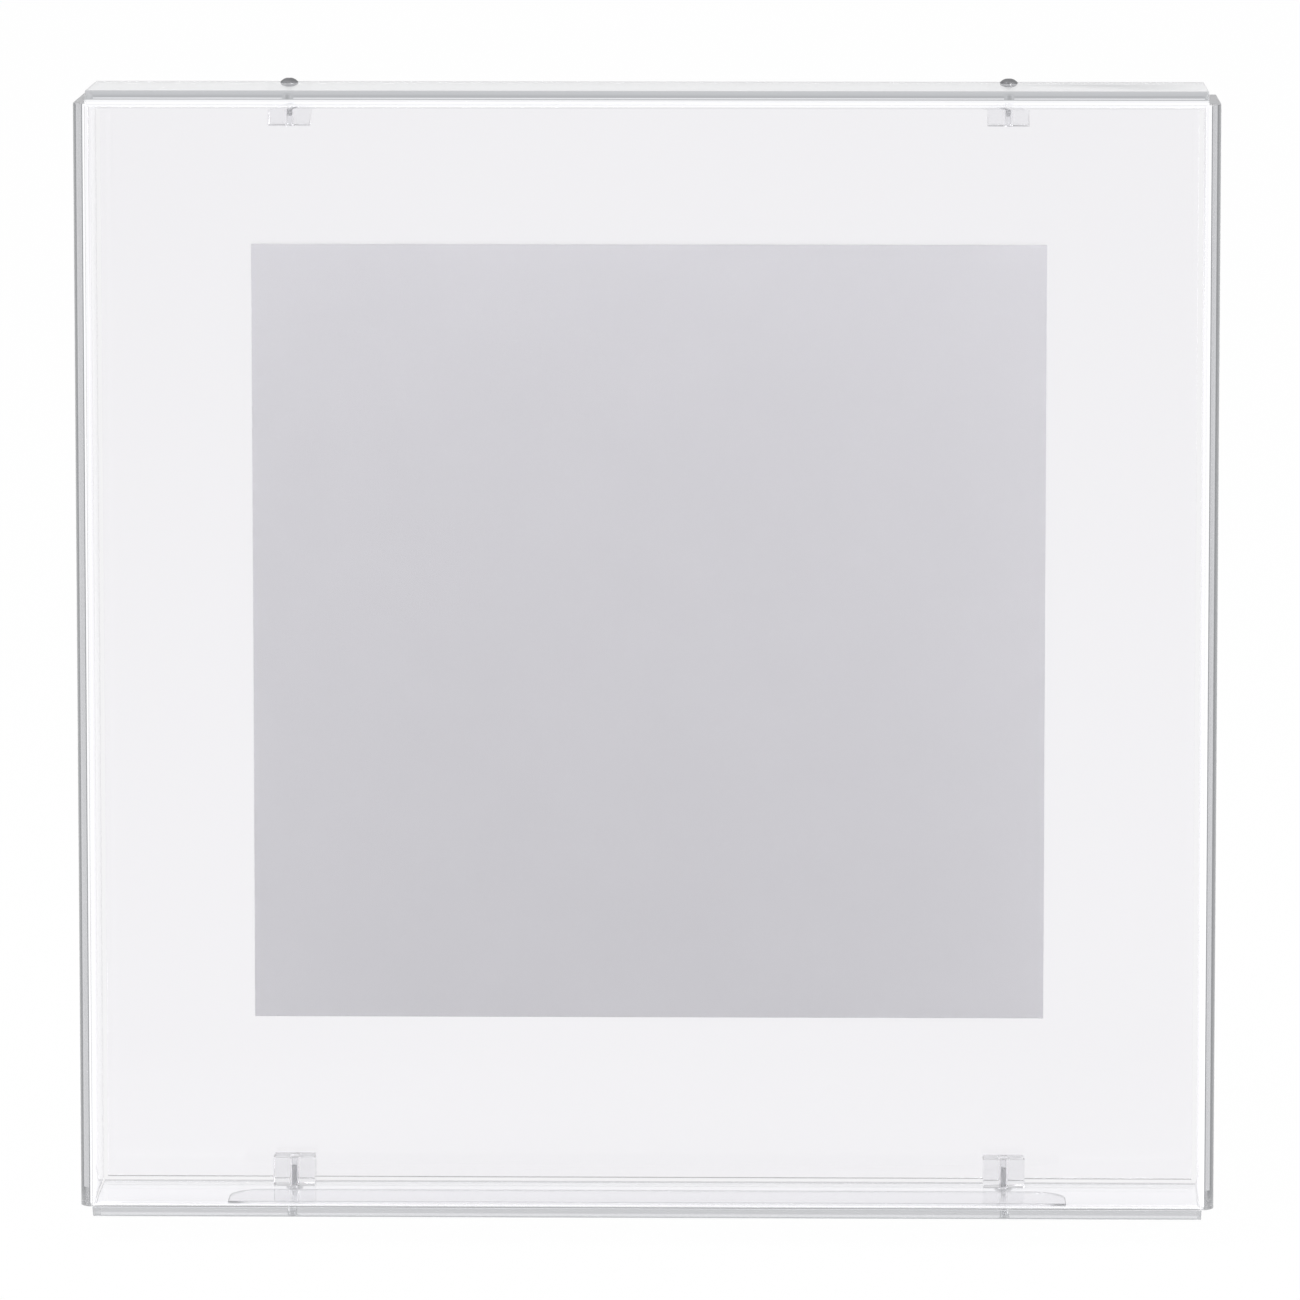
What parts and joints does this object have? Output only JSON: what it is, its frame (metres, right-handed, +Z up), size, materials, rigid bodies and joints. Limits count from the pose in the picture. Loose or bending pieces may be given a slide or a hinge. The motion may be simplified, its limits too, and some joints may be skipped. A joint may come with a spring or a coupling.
{
  "type": "clear box picture frame",
  "caption": "Shallow clear acrylic box frame for a wall: bent front cover over a flat back panel, held by small screws through its top and bottom into clear blocks, with a square card inside.",
  "frame": {"origin": "centre of the back panel's rear face, on the wall", "axes": "+Z up, +X to the viewer's right, +Y into the wall; the frame stands out towards -Y"},
  "size_m": [0.5, 0.07, 0.5022],
  "materials": {
    "cover_acrylic": "polished clear acrylic sheet",
    "panel_acrylic": "polished clear acrylic sheet",
    "block_acrylic": "sawn and polished clear acrylic block",
    "grey_card": "matt pale grey card",
    "foam_tab": "white foam mounting tab",
    "screw_steel": "bright stainless steel"
  },
  "bodies": {
    "wall_panel": {"back_panel": "panel_acrylic", "picture_card": "grey_card", "mounting_tab_top_left": "foam_tab", "clip_block_top_left": "block_acrylic", "mounting_tab_top_right": "foam_tab", "clip_block_top_right": "block_acrylic", "mounting_tab_bottom_left": "foam_tab", "clip_block_bottom_left": "block_acrylic", "mounting_tab_bottom_right": "foam_tab", "clip_block_bottom_right": "block_acrylic"},
    "cover": {"front_cover": "cover_acrylic", "base_strip": "cover_acrylic"},
    "clip_screw_top_left": {"clip_screw_top_left": "screw_steel"},
    "clip_screw_top_right": {"clip_screw_top_right": "screw_steel"},
    "clip_screw_bottom_left": {"clip_screw_bottom_left": "screw_steel"},
    "clip_screw_bottom_right": {"clip_screw_bottom_right": "screw_steel"}
  },
  "joints": [
    {"name": "cover_slide", "type": "slide", "parent": "wall_panel", "child": "cover", "axis": [0, -1, 0], "range_m": [0, 0.075]},
    {"name": "screw_out_top_left", "type": "slide", "parent": "wall_panel", "child": "clip_screw_top_left", "axis": [0, 0, 1], "range_m": [0, 0.014]},
    {"name": "screw_out_top_right", "type": "slide", "parent": "wall_panel", "child": "clip_screw_top_right", "axis": [0, 0, 1], "range_m": [0, 0.014]},
    {"name": "screw_out_bottom_left", "type": "slide", "parent": "wall_panel", "child": "clip_screw_bottom_left", "axis": [0, 0, -1], "range_m": [0, 0.014]},
    {"name": "screw_out_bottom_right", "type": "slide", "parent": "wall_panel", "child": "clip_screw_bottom_right", "axis": [0, 0, -1], "range_m": [0, 0.014]}
  ]
}
